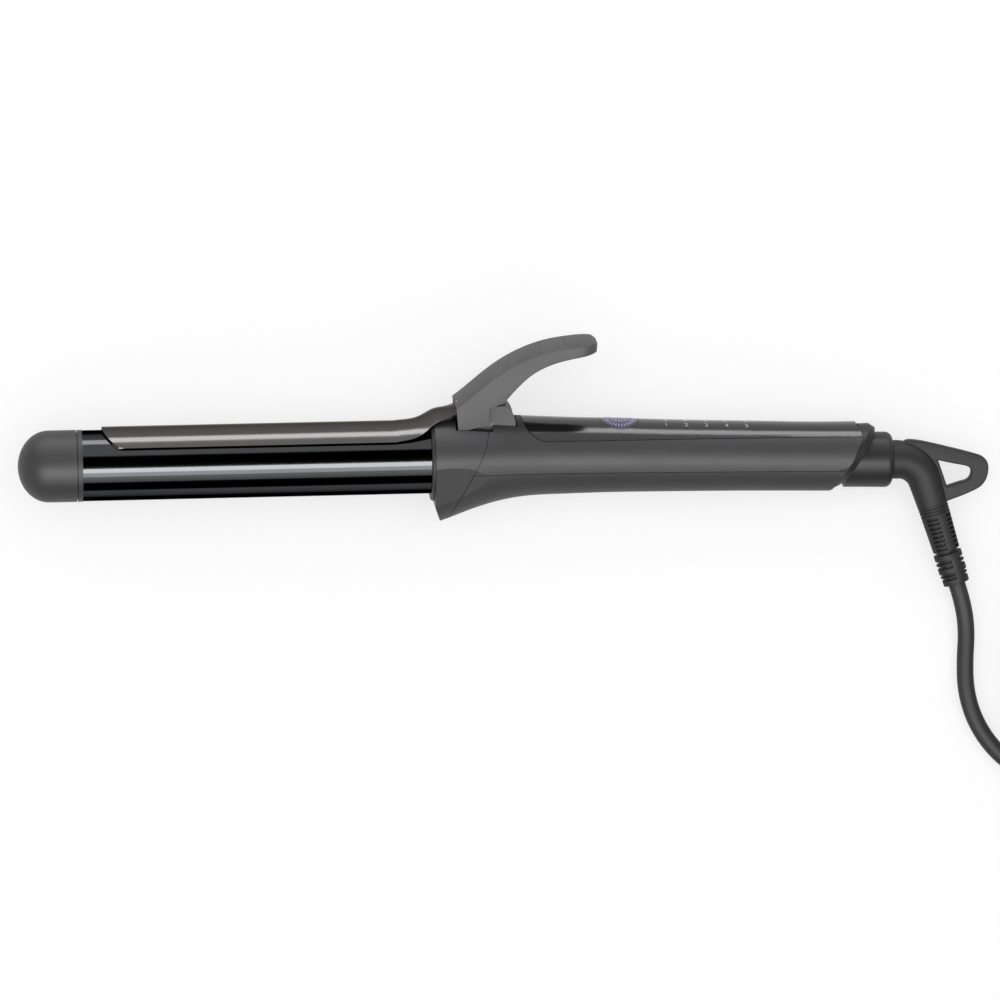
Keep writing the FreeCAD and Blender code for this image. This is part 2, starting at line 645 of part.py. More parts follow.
# --- switch, lights and board -------------------------------------------------------------
BOARD_TOP = "board_level + board_thickness"
UPWARDS = Vector(0, 0, 1)
POST_ENDS = ("board_start + 6", "board_start + board_length - 6")


def light_places():
    return ["light_first + light_pitch * %d" % index for index in range(5)]


def make_electronics():
    # the flange catches under the shell, so that the button cannot come out
    flange_radius = size("button_radius + 0.9")
    roof = handle_level(size("button_x")) + math.sqrt(size(INNER) ** 2 - flange_radius ** 2)
    flange_top = roof - 0.13
    plug = rod("button_radius", "30", ("button_x", 0, flange_top), UPWARDS)
    flange = rod(flange_radius, "0.8", ("button_x", 0, flange_top - 0.8), UPWARDS)
    stem_foot = size("%s + 4.7 + button_travel + 0.1" % BOARD_TOP)
    stem = rod("2", flange_top - 0.4 - stem_foot, ("button_x", 0, stem_foot), UPWARDS)
    node("power_button", fuse(overlap_of(plug, housing), flange, stem))
    node("tact_switch", fuse(
        block(("6", "6", "3.5"), ("button_x - 3", -3, BOARD_TOP)),
        rod("1.5", "1.2", ("button_x", 0, "%s + 3.5" % BOARD_TOP), UPWARDS)))
    guides = [rod("light_radius", "30", (x, 0, "%s + 1" % BOARD_TOP), UPWARDS)
              for x in light_places()]
    node("light_guides", overlap_of(fuse(*guides), housing))
    node("status_leds", fuse(*[
        block(("2", "1.4", "0.8"), ("%s - 1" % x, "-0.7", BOARD_TOP)) for x in light_places()]))
    board = block(("board_length", "2 * board_half", "board_thickness"),
                  ("board_start", "-board_half", "board_level"))
    holes = [rod("0.95", "4", (x, y, "board_level - 1"), UPWARDS)
             for x in POST_ENDS for y in (-6, 6)]
    node("circuit_board", cut(board, *holes))
    node("board_screws", fuse(
        *[rod("0.75", "6.4", (x, 6, "%s - 6.4" % BOARD_TOP), UPWARDS) for x in POST_ENDS],
        *[rod("1.6", "0.9", (x, 6, BOARD_TOP), UPWARDS) for x in POST_ENDS]))
    node("board_parts", fuse(
        block(("9", "5", "6"), ("button_x + 9.8", "-7", BOARD_TOP)),
        block(("7", "5", "1.4"), ("100", "2", BOARD_TOP)),
        rod("2.8", "10", ("118", "-5", "%s + 2.8" % BOARD_TOP)),
        block(("6", "8", "4"), ("134", "-4", BOARD_TOP))))
    lead_start = "core_front_gap + core_length - barrel_exposed"
    leads = []
    for y in (-5, 5):
        leads.append(rod("0.7", "board_start + 2.5 - (%s)" % lead_start, (lead_start, y, "-4")))
        leads.append(rod("0.6", "board_level + 4", ("board_start + 1.6", y, "-4"), UPWARDS))
    node("heater_leads", fuse(*leads))
    tails = []
    for y in ("-4.5", "4.5"):
        tails.append(rod("0.7", "%s - collar_inside - (board_start + board_length - 2)" % SWIVEL_X,
                         ("board_start + board_length - 2", y, "-4.5")))
        tails.append(rod("0.6", "board_level + 4.5",
                         ("board_start + board_length - 1.2", y, "-4.5"), UPWARDS))
    node("supply_leads", fuse(*tails))


# --- cord swivel ----------------------------------------------------------------------
def make_swivel():
    lip = "neck_radius + neck_fit"
    node("swivel_collar", turned("swivel_collar", [
        ("-collar_inside", "collar_inner_radius"), ("-collar_inside", "collar_outer"),
        ("0", "collar_outer"), ("0", lip), ("-lip_length", lip),
        ("-lip_length", "collar_inner_radius"),
    ], (2, "2.8")), ON_HANDLE_END)
    holder = "-collar_inside + 0.2"
    node("contact_holder", turned("contact_holder", [
        (holder, "0"), (holder, "collar_inner_radius - slip_fit"),
        ("%s + 1.5" % holder, "collar_inner_radius - slip_fit"), ("%s + 1.5" % holder, "0"),
    ]), ON_HANDLE_END)
    reach = "slip_ring_radius + 0.1"
    node("brush_contacts", fuse(
        block(("9.7", "2", "0.4"), ("%s + 1.5" % holder, -1, "%s + 1" % reach)),
        block(("1.6", "2", "1"), ("%s + 9.6" % holder, -1, reach)),
        block(("5.4", "2", "0.4"), ("%s + 1.5" % holder, -1, "-(%s) - 0.4" % reach)),
    ), ON_HANDLE_END)
    rings = [
        cut(rod("slip_ring_radius", "slip_ring_length", (x, 0, 0)),
            rod("spigot_radius + 0.02", "slip_ring_length", (x, 0, 0)))
        for x in ("-9.6", "-14.0")
    ]
    node("slip_rings", fuse(*rings), ON_SWIVEL)


def bend_point(angle):
    """A point and direction on the elbow's centre line after turning by angle degrees."""
    turn = math.radians(angle)
    radius = size("bend_radius")
    point = Vector(size("bend_start") + radius * math.sin(turn), radius * (math.cos(turn) - 1), 0)
    return point, Vector(math.cos(turn), -math.sin(turn), 0)


ELBOW_TAIL = 10.0
HOLE_CORNERS = [(17.9, 0.2, 0.9), (28.9, -1.5, 2.2), (31.2, -4.6, 2.0), (29.6, -7.8, 2.2),
                (22.2, -10.3, 1.0)]
LOOP_CORNERS = [(6.0, 7.0, 0), (9.5, 7.0, 6), (29.9, 2.4, 4.5), (35.0, -4.4, 3.5),
                (32.3, -10.9, 4.5), (23.4, -15.0, 0), (16.0, -18.0, 0), (12.5, -10.0, 0),
                (6.0, -2.0, 0)]


def loop_outline(corners):
    points = [(Vector(x, y, -size("loop_thickness") / 2), radius) for x, y, radius in corners]
    return Part.Face(rounded_path(points, True)).extrude(Vector(0, 0, size("loop_thickness")))


def make_elbow():
    neck = turned("elbow_neck", [
        ("-lip_length - 13.8", "0"), ("-lip_length - 13.8", "spigot_radius"),
        ("-lip_length - flange_length - 0.1", "spigot_radius"),
        ("-lip_length - flange_length - 0.1", "flange_radius"),
        ("-lip_length - 0.1", "flange_radius"), ("-lip_length - 0.1", "neck_radius"),
        ("bend_start", "neck_radius"), ("bend_start", "0"),
    ])
    angle = size("bend_angle")
    start_radius = size("neck_radius")
    end_radius = size("elbow_end_radius")
    rings = []
    for step in range(9):
        point, along = bend_point(angle * step / 8)
        radius = start_radius + (end_radius + 0.3 - start_radius) * step / 8
        rings.append(Part.Wire(Part.Circle(point, along, radius).toShape()))
    point, along = bend_point(angle)
    bend = Part.makeLoft(rings, True)
    last = Part.makeCone(end_radius + 0.3, end_radius - 0.3, ELBOW_TAIL, point, along)
    loop = loop_outline(LOOP_CORNERS).cut(loop_outline(HOLE_CORNERS))
    form = shaped(bend.fuse(last).fuse(loop), "elbow_form")
    node("swivel_elbow", fuse(neck, form), ON_SWIVEL)
    return Placement(point + along * ELBOW_TAIL, Rotation(Vector(0, 0, 1), -angle))


def make_relief(at_elbow):
    end = "relief_length - 6.7"
    core = "cord_radius + 0.7"
    tip = "relief_end_radius"
    outline = [("0", "0"), ("0", "elbow_end_radius - 0.35"), ("19.3", "%s + 0.1" % tip),
               ("19.3", core)]
    for start, extra in (("20.6", 0.5), ("26.1", 0.4)):
        outline += [(start, core), (start, "%s + %s" % (tip, extra)),
                    ("%s + 2.3" % start, "%s + %s" % (tip, extra)), ("%s + 2.3" % start, core)]
    outline += [("31", core), ("31", tip), (end, tip), (end, "0")]
    node("strain_relief", turned("strain_relief", outline), ON_SWIVEL.multiply(at_elbow))
    return ON_SWIVEL.multiply(at_elbow).multVec(Vector(size(end), 0, 0))


# --- cord, coil and plug, in the table's frame --------------------------------------------
# Points run from where the cord leaves the strain relief: (x, y) from there, z above the table.
CORD_ROUTE = [
    (0.0, 0.0, 5.5), (2.7, -8.6, 4.3), (3.9, -19.5, 3.5), (2.9, -31.0, 3.4), (2.9, -42.0, 3.4),
    (5.4, -52.7, 3.4), (10.5, -62.5, 3.4), (17.8, -70.7, 3.4), (26.9, -76.9, 3.4),
    (37.2, -80.8, 3.5), (48.1, -82.0, 3.8),
]
LEAD_ROUTE = [
    (120.6, -44.5, 24.6), (121.3, -33.0, 23.3), (120.9, -21.5, 20.4), (118.6, -10.7, 16.2),
    (113.8, -0.8, 12.0), (106.7, 7.6, 9.0), (97.8, 14.1, 7.4), (87.6, 18.2, 7.0),
    (76.7, 19.7, 7.5),
]
BEND_SHARE = 0.45  # each arc's tangent length, as a share of its shorter run


def cord_tube(route, start):
    """A tube of straight runs and tangent arcs, each as large as its runs allow."""
    points = [Vector(start.x + x, start.y + y, z) for x, y, z in route]
    corners = [(points[0], 0)]
    for before, point, after in zip(points, points[1:], points[2:]):
        turn = (point - before).getAngle(after - point)
        shorter = min((point - before).Length, (after - point).Length)
        corners.append((point, BEND_SHARE * shorter / math.tan(turn / 2)))
    corners.append((points[-1], 0))
    print("cord radii", [round(radius) for point, radius in corners[1:-1]])
    path = rounded_path(corners, False)
    ring = Part.Circle(points[0], points[1] - points[0], size("cord_radius"))
    tube = path.makePipeShell([Part.Wire(ring.toShape())], True, True)
    section = math.pi * size("cord_radius") ** 2
    print("tube volume over section times length", tube.Volume / (section * path.Length))
    return tube


def make_cord(start):
    level = Placement()
    node("cord", shaped(cord_tube(CORD_ROUTE, start), "cord_tube"), level)
    node("plug_lead", shaped(cord_tube(LEAD_ROUTE, start), "lead_tube"), level)
    x = "%f + coil_x" % start.x
    y = "%f + coil_y" % start.y
    node("cord_coil", cut(
        rod("coil_outer", "coil_height", (x, y, "0.8"), UPWARDS),
        rod("coil_inner", "coil_height", (x, y, "0.8"), UPWARDS)), level)
    band = "coil_outer - coil_inner"
    node("cord_tie", cut(
        block(("%s + 3.2" % band, "12", "coil_height + 1.6"),
              ("%s - coil_outer - 1.2" % x, "%s - 6" % y, "0")),
        block(("%s + 1.3" % band, "12", "coil_height + 0.02"),
              ("%s - coil_outer - 0.3" % x, "%s - 6" % y, "0.79"))), level)

    # two-blade plug, lying flat, with its nose towards -X
    back_x = "%f" % (start.x + LEAD_ROUTE[-1][0])
    middle_y = "%f" % (start.y + LEAD_ROUTE[-1][1])
    sleeve = rod("cord_radius + 1.2", "12", ("%s - 12" % back_x, middle_y, "7.5"))
    head = block(("plug_length - 11", "22", "15"), ("%s - plug_length" % back_x,
                                                    "%s - 11" % middle_y, "0"))
    blades = [
        block(("blade_length", "1.5", "6.35"),
              ("%s - plug_length - blade_length" % back_x, "%s - 0.75 + %s" % (middle_y, y), "4.3"))
        for y in ("6.35", "-6.35")
    ]
    node("plug_body", fuse(sleeve, head), level)
    node("plug_blades", fuse(*blades), level)


make_barrel()
make_heater()
make_housing()
make_lever()
make_knuckle()
make_plate()
make_hinge_parts()
make_electronics()
make_swivel()
exit_point = make_relief(make_elbow())
print("cord leaves at", exit_point)
make_cord(exit_point)
doc.recompute()

# --- checks, then one STEP file for each node --------------------------------------------
failed = [thing.Label for thing in doc.Objects
          if "Invalid" in thing.State or "Error" in thing.State]
if failed:
    raise SystemExit("failed objects: " + ", ".join(failed))
for piece in nodes:
    if piece.Shape.isNull() or not piece.Shape.isValid() or not piece.Shape.Solids:
        raise SystemExit("bad shape: " + piece.Label)

os.makedirs("parts", exist_ok=True)
for piece in nodes:
    piece.Shape.exportStep("parts/%s.step" % piece.Label)
print(len(nodes), "nodes written")
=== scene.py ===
# %% [markdown]
# # A spring-clamp curling iron, finished around its CAD frame
#
# The iron lies on its side on a white table. Its working pieces come from a CAD model and keep
# their place here. This lesson adds what the eye wants: the right materials, rounded edges, the
# slotted strain relief and the mains cord, which is soft and so is drawn as a curve.
# All lengths are in metres, and every piece stands in the frame of the CAD model.

# %% Load the frame
import json
import math

import bmesh
import bpy
from mathutils import Matrix, Vector


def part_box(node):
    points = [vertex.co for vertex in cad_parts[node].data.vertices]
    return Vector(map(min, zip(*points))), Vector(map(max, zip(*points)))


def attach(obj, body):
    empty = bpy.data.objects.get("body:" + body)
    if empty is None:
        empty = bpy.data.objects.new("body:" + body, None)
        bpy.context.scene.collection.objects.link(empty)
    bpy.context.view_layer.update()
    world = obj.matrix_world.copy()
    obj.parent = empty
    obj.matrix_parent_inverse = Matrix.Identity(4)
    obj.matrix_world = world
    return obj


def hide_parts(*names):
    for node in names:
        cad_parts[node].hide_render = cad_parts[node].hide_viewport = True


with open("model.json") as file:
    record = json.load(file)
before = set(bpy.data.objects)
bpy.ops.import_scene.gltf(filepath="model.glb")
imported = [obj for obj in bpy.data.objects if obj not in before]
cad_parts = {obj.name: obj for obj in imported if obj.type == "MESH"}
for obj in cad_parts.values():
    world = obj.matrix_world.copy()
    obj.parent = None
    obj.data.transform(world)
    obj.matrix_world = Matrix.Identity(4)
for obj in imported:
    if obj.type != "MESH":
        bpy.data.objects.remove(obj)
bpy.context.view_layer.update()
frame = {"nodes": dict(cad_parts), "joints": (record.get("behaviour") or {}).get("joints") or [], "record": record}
NODES = frame["nodes"]
bpy.ops.object.select_all(action="DESELECT")

# %% [markdown]
# ## Frames of the iron
#
# A maker draws such an iron along its own axis: X from the tip towards the cord, Z from the
# barrel axis towards the thumb lever, Y across. On the table the iron lies rolled over on its
# side, so a matrix takes a point of the iron to its place on the table. The barrel's axis, and
# the swivel's axis that leaves the handle, follow from it. The angles are the maker's own, and
# the place is read from the CAD nodes, so that nothing is fitted by eye.

# %% Iron frame and swivel frame
MM = 0.001
ROLL = math.radians(15)          # how far the iron is rolled up from lying flat on its side
PITCH = math.radians(1.35)       # the barrel points slightly upwards
DROOP = math.radians(1.62)       # the handle droops from the barrel's axis
SWIVEL_ROLL = math.radians(7.6)  # how the cord outlet is turned about the swivel's axis

joints = {joint["name"]: joint for joint in frame["joints"]}
PIVOT = Vector(joints["clamp_hinge"]["pos_m"])
lie = Matrix.Rotation(PITCH, 4, "Y") @ Matrix.Rotation(ROLL - math.pi / 2, 4, "X")
ON_TABLE = Matrix.Translation(PIVOT - lie @ Vector((23 * MM, 0, 15 * MM))) @ lie
ON_HANDLE_END = ON_TABLE @ Matrix.Translation((182.3 * MM, 0, -4.7994 * MM)) @ Matrix.Rotation(
    DROOP, 4, "Y")
ON_SWIVEL = ON_HANDLE_END @ Matrix.Rotation(math.pi / 2 - ROLL + SWIVEL_ROLL, 4, "X")


def iron_point(x, y, z):
    """A point of the iron, in its own millimetres, as a place on the table."""
    return ON_TABLE @ Vector((x * MM, y * MM, z * MM))


print("barrel axis starts at", [round(1000 * x, 1) for x in iron_point(0, 0, 0)])

# %% [markdown]
# ## Camera
#
# The iron is seen from straight above the table, with a long lens, so that the barrel shows no
# perspective. A camera object looks along its own -Z, with +Y up in the picture. Its three axes
# are the columns of its matrix, so the view is set from the iron's own frame: a little from the
# lever's side and a little from the tip's end.

# %% Make the camera
VIEW_TILT = math.radians(15.2)
VIEW_TURN = math.radians(5)
DISTANCE = 3.0
VIEW_WIDTH = 0.3943              # what the picture spans at the iron
AIM = (26.5 * MM, -16.6 * MM)    # picture's centre, right of and above the barrel's front end

turn_sin, turn_cos = math.sin(VIEW_TURN), math.cos(VIEW_TURN)
tilt_sin, tilt_cos = math.sin(VIEW_TILT), math.cos(VIEW_TILT)
right = (lie @ Vector((turn_cos, -turn_sin, 0))).normalized()
upward = (lie @ Vector((tilt_sin * turn_sin, tilt_sin * turn_cos, tilt_cos))).normalized()
towards = right.cross(upward)

camera_data = bpy.data.cameras.new("camera")
camera_data.sensor_width = 36
camera_data.lens = 36 * DISTANCE / VIEW_WIDTH
camera = bpy.data.objects.new("camera", camera_data)
bpy.context.scene.collection.objects.link(camera)
aim_point = iron_point(0, 0, 0) + AIM[0] * right + AIM[1] * upward
camera.matrix_world = Matrix((
    (right.x, upward.x, towards.x, 0), (right.y, upward.y, towards.y, 0),
    (right.z, upward.z, towards.z, 0), (0, 0, 0, 1)))
camera.location = aim_point + DISTANCE * towards
bpy.context.scene.camera = camera
print("lens", round(camera_data.lens), "mm")

# %% [markdown]
# ## The cord
#
# The cord is 6.8 mm flex, about 2.4 m long. It leaves the strain relief, drops to the table and
# runs in a loose bow to where its spare length is wound into a coil, with its plug beside it.
# A NURBS curve is the natural choice: it is smooth wherever its points are, and a bevel depth
# makes it round. The order and the end-point option are set after the points are added.
# The free stretches are listed points; the coil's turns are worked out by a loop that
# winds layers outwards and inwards, each turn one diameter from the last.

# %% Route of the cord
CORD_RADIUS = 3.4 * MM
relief_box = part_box("strain_relief")
BEND_RADIUS, BEND_ANGLE, BEND_START = 12, math.radians(71.6), 2.3
ELBOW_TAIL, RELIEF_LENGTH = 10.0, 33.3

along = Vector((math.cos(BEND_ANGLE), -math.sin(BEND_ANGLE), 0))
bend_end = Vector((BEND_START + BEND_RADIUS * math.sin(BEND_ANGLE),
                   BEND_RADIUS * (math.cos(BEND_ANGLE) - 1), 0))
relief_start = bend_end + ELBOW_TAIL * along
ON_RELIEF = ON_SWIVEL @ Matrix.Translation(relief_start * MM) @ Matrix.Rotation(
    -BEND_ANGLE, 4, "Z")
cord_exit = ON_RELIEF @ Vector((RELIEF_LENGTH * MM, 0, 0))
print("cord leaves at", [round(1000 * x, 1) for x in cord_exit])

# x and y from the exit, z above the table, in millimetres
CORD_ROUTE = [
    (0.0, 0.0, 5.5), (2.7, -8.6, 4.3), (3.9, -19.5, 3.5), (2.9, -31.0, 3.4), (2.9, -42.0, 3.4),
    (5.4, -52.7, 3.4), (10.5, -62.5, 3.4), (17.8, -70.7, 3.4), (26.9, -76.9, 3.4),
    (37.2, -80.8, 3.5), (48.1, -85.3, 3.9), (61.0, -88.2, 4.1),
]
LEAD_ROUTE = [
    (120.6, -44.5, 24.6), (121.3, -33.0, 23.3), (120.9, -21.5, 20.4), (118.6, -10.7, 16.2),
    (113.8, -0.8, 12.0), (106.7, 7.6, 9.0), (97.8, 14.1, 7.4), (87.6, 18.2, 7.0),
    (76.7, 19.7, 7.5),
]
COIL_CENTRE = (76.0, -44.5)


def on_table(x, y, z):
    return Vector((cord_exit.x + x * MM, cord_exit.y + y * MM, z * MM))


# %% [markdown]
# ## Winding the coil
#
# The spare length is wound into a round coil, as it is for storage. Four layers lie on each
# other: inwards, outwards, inwards and out again to the plug. Each layer is a spiral whose turns
# lie one diameter apart, and between two layers the cord climbs by one diameter over half a turn.
# A loop is the natural way to make turns that differ only in radius and height, and sixteen
# points a turn keep them round.

# %% Points of the coil
POINTS_PER_TURN = 16
OUTER_TURN, INNER_TURN = 44.4, 30.7
LAYERS = (4.2, 11.0, 17.8, 24.6)
WINDING = [                      # turns, radius at their end, height at their end
    (2, INNER_TURN, LAYERS[0]), (0.5, INNER_TURN, LAYERS[1]), (2, OUTER_TURN, LAYERS[1]),
    (0.5, OUTER_TURN, LAYERS[2]), (2, INNER_TURN, LAYERS[2]), (0.5, INNER_TURN, LAYERS[3]),
    (1.75, OUTER_TURN, LAYERS[3]),
]


def wound_turns(angle, radius, level):
    """Points of the coil from its lowest outer turn to its highest one."""
    points = []
    for turns, next_radius, next_level in WINDING:
        steps = round(turns * POINTS_PER_TURN)
        for step in range(steps):
            share = step / steps
            climb = share * share * (3 - 2 * share)
            now = radius + (next_radius - radius) * share
            points.append(on_table(COIL_CENTRE[0] + now * math.cos(angle),
                                   COIL_CENTRE[1] + now * math.sin(angle),
                                   level + (next_level - level) * climb))
            angle += 2 * math.pi / POINTS_PER_TURN
        radius, level = next_radius, next_level
    return points


turns = wound_turns(-math.pi / 2, OUTER_TURN, LAYERS[0])
print(len(turns), "points in the coil")

# %% [markdown]
# ## Drawing the cord
#
# The spline gets its control points first, then its order and the end-point option. A mesh of
# the evaluated curve, as a line without its bevel, is made and removed again.

# %% Make the cord
route = [on_table(*point) for point in CORD_ROUTE] + turns
route += [on_table(*point) for point in LEAD_ROUTE]
route[0] = Vector(cord_exit)

curve = bpy.data.curves.new("mains_cord", "CURVE")
curve.dimensions = "3D"
curve.resolution_u = 5
spline = curve.splines.new("NURBS")
spline.points.add(len(route) - 1)
for point, place in zip(spline.points, route):
    point.co = (place.x, place.y, place.z, 1)
    point.radius = CORD_RADIUS    # a bevel depth of 1 then makes the cord this thick
spline.order_u = 3
spline.use_endpoint_u = True
cord = bpy.data.objects.new("mains_cord", curve)
bpy.context.scene.collection.objects.link(cord)

centreline = bpy.data.meshes.new_from_object(cord)
bpy.data.meshes.remove(centreline)
curve.bevel_depth = 1
curve.bevel_resolution = 5
curve.use_fill_caps = True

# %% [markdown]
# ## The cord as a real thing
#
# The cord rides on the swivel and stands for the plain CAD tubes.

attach(cord, "swivel")
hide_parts("cord", "cord_coil", "plug_lead")

# %% [markdown]
# ## Pieces made here
#
# Where the CAD shape is right but its edges are too sharp, a merged copy gets a small bevel. A
# moulding never has a knife edge, and the thin bright line along an edge is what makes a surface
# look real. The helpers keep a piece at the origin, with its place in its mesh.

# %% Helpers for new pieces
NEW_PIECES = []


def only(piece):
    """Select one piece alone and make it active."""
    bpy.ops.object.select_all(action="DESELECT")
    piece.select_set(True)
    bpy.context.view_layer.objects.active = piece


def settle(piece, place):
    """Write a piece's place into its mesh."""
    piece.data.transform(place @ piece.matrix_basis)
    piece.matrix_basis = Matrix()
    piece.data.update()


def adopt(piece, body, slot, *replaced):
    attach(piece, body)
    if replaced:
        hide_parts(*replaced)
    NEW_PIECES.append((piece, slot))


def bevel(piece, width, segments=3, angle=28):
    """Round a piece's edges by width in mm, and shade it smooth between them."""
    only(piece)
    modifier = piece.modifiers.new("edges", "BEVEL")
    modifier.width = width * MM
    modifier.segments = segments
    modifier.limit_method = "ANGLE"
    modifier.angle_limit = math.radians(angle)
    bpy.ops.object.modifier_apply(modifier=modifier.name)
    bpy.ops.object.shade_smooth_by_angle(angle=math.radians(38))


def softened(node, name, body, slot, width, segments=3):
    """A merged copy of a CAD node with rounded edges, which stands for the node."""
    piece = bpy.data.objects.new(name, NODES[node].data.copy())
    bpy.context.scene.collection.objects.link(piece)
    only(piece)
    bpy.ops.mesh.customdata_custom_splitnormals_clear()
    bpy.ops.object.mode_set(mode="EDIT")
    bpy.ops.mesh.select_all(action="SELECT")
    bpy.ops.mesh.remove_doubles(threshold=0.00001)
    bpy.ops.mesh.dissolve_limited(angle_limit=math.radians(0.5))
    bpy.ops.mesh.normals_make_consistent(inside=False)
    bpy.ops.object.mode_set(mode="OBJECT")
    bevel(piece, width, segments)
    adopt(piece, body, slot, node)
    print(name, len(piece.data.polygons), "faces")
    return piece


# %% [markdown]
# ## Thumb lever, plug and tie
#
# The lever is a thick moulding with a soft edge all round. The plug is rubber, rounder still, and
# the tie is a thin strap.

# %% Soften the moulded pieces
softened("lever", "thumb_lever", "clamp", "matte_lever", 0.8)
plug = softened("plug_body", "moulded_plug", "swivel", "plug_plastic", 1.4, 4)
tie = softened("cord_tie", "coil_strap", "swivel", "tie_plastic", 0.25, 2)

# %% [markdown]
# ## Slotted strain relief
#
# The rubber sleeve bends with the cord because it is cut into ribs. It starts as one cylinder
# along Z, which is bisected at the edge of every slot. The faces of the slots are then extruded
# and shrunk towards the axis, all but four narrow spines, and the sleeve is tapered at the end.

# %% Model the relief sleeve
RELIEF_RADIUS = 6.0
RINGS = [(0.9 + 1.2 * k, 1.4 + 1.2 * k) for k in range(3)]
SLOTS = [(5.0 + 1.8 * k, 6.0 + 1.8 * k) for k in range(8)]
GAPS = [(22.9, 24.1), (24.9, 26.1), (28.4, 29.4), (30.0, 31.0)]
NECKS = [(19.3, 20.6)]
TAPER = [(0, 6.1), (19.3, 5.4), (20.6, 5.7), (28.4, 5.6), (31.0, 5.25), (RELIEF_LENGTH, 5.2)]
SPINE_TURN, SPINE_HALF = 162, 14     # degrees round the sleeve


def taper_at(z):
    for (z0, r0), (z1, r1) in zip(TAPER, TAPER[1:]):
        if z <= z1:
            return r0 + (r1 - r0) * max(0, z - z0) / (z1 - z0)
    return TAPER[-1][1]


def sink(piece, cuts, share, spines):
    """Extrude the faces between each pair of heights towards the axis, all but the spines."""
    for face in piece.data.polygons:
        x, y, z = (c / MM for c in face.center)
        outside = abs(face.normal.z) < 0.5 and math.hypot(x, y) > 0.95 * RELIEF_RADIUS
        cut = outside and any(low < z < high for low, high in cuts)
        if cut and spines:
            turn = (math.degrees(math.atan2(y, x)) - SPINE_TURN) % (360 / spines)
            cut = min(turn, 360 / spines - turn) > SPINE_HALF
        face.select = cut
    bpy.ops.object.mode_set(mode="EDIT")
    bpy.ops.mesh.extrude_region()
    bpy.ops.transform.resize(value=(share, share, 1), center_override=(0, 0, 0))
    bpy.ops.mesh.select_all(action="DESELECT")
    bpy.ops.object.mode_set(mode="OBJECT")


bpy.ops.object.select_all(action="DESELECT")
bpy.ops.mesh.primitive_cylinder_add(vertices=40, radius=RELIEF_RADIUS * MM,
                                    depth=RELIEF_LENGTH * MM,
                                    location=(0, 0, RELIEF_LENGTH * MM / 2))
sleeve = bpy.context.active_object
sleeve.name = "relief_sleeve"
settle(sleeve, Matrix())
bpy.ops.object.mode_set(mode="EDIT")
for height in sorted(z for cut in RINGS + SLOTS + GAPS + NECKS for z in cut):
    bpy.ops.mesh.select_all(action="SELECT")
    bpy.ops.mesh.bisect(plane_co=(0, 0, height * MM), plane_no=(0, 0, 1))
bpy.ops.mesh.select_mode(type="FACE")
bpy.ops.mesh.select_all(action="DESELECT")
bpy.ops.object.mode_set(mode="OBJECT")
sink(sleeve, RINGS, 0.93, 0)
sink(sleeve, SLOTS, 0.74, 4)
sink(sleeve, GAPS, 0.74, 2)
sink(sleeve, NECKS, 0.74, 0)
for vertex in sleeve.data.vertices:
    share = taper_at(vertex.co.z / MM) / RELIEF_RADIUS
    vertex.co.x *= share
    vertex.co.y *= share
bevel(sleeve, 0.16, 2)
settle(sleeve, ON_RELIEF @ Matrix.Rotation(math.pi / 2, 4, "Y"))
adopt(sleeve, "swivel", "relief_rubber", "strain_relief")
print("relief sleeve", len(sleeve.data.polygons), "faces")

# %% [markdown]
# ## Cord outlet with its hanging loop
#
# The elbow is a tube that thins as it bends, and the loop is a flat strap that grows out of it.
# A curve with a radius at each point gives the tube. A second, flat curve with a hole in it gives
# the loop, with soft edges from its bevel. Both are made meshes and joined.

# %% Model the outlet
BEND_STEPS = 14
tube_points = [(-13.0, 0.0, 5.2), (-4.0, 0.0, 5.2), (-3.9, 0.0, 7.75), (0.0, 0.0, 7.75)]
for step in range(BEND_STEPS + 1):
    turn = BEND_ANGLE * step / BEND_STEPS
    tube_points.append((BEND_START + BEND_RADIUS * math.sin(turn),
                        BEND_RADIUS * (math.cos(turn) - 1), 7.75 - 1.05 * step / BEND_STEPS))
tube_points.append((relief_start.x, relief_start.y, 6.1))

tube_curve = bpy.data.curves.new("outlet_tube", "CURVE")
tube_curve.dimensions = "3D"
tube_curve.bevel_depth = 1
tube_curve.bevel_resolution = 10
tube_curve.use_fill_caps = True
tube = tube_curve.splines.new("POLY")
tube.points.add(len(tube_points) - 1)
for point, (x, y, radius) in zip(tube.points, tube_points):
    point.co = (x * MM, y * MM, 0, 1)
    point.radius = radius * MM

LOOP_EDGE = [(4, 7.4), (10, 7.4), (20, 5.2), (31, 2.6), (38.6, 0.4), (37.6, -9.0), (30, -12.9),
             (21, -16.2), (14.5, -19.5), (12, -10), (6, -2)]
LOOP_HOLE = [(17.6, 0.8), (17.6, 0.8), (24, -0.6), (33.0, -2.0), (32.2, -8.0), (27, -9.4),
             (22.0, -11.2), (22.0, -11.2)]
loop_curve = bpy.data.curves.new("outlet_loop", "CURVE")
loop_curve.dimensions = "2D"
loop_curve.fill_mode = "BOTH"
loop_curve.extrude = 1.9 * MM
loop_curve.bevel_depth = 0.6 * MM
loop_curve.bevel_resolution = 3
for outline in (LOOP_EDGE, LOOP_HOLE):
    edge = loop_curve.splines.new("NURBS")
    edge.points.add(len(outline) - 1)
    for point, (x, y) in zip(edge.points, outline):
        point.co = (x * MM, y * MM, 0, 1)
    edge.use_cyclic_u = True
    edge.order_u = 3
    edge.resolution_u = 8

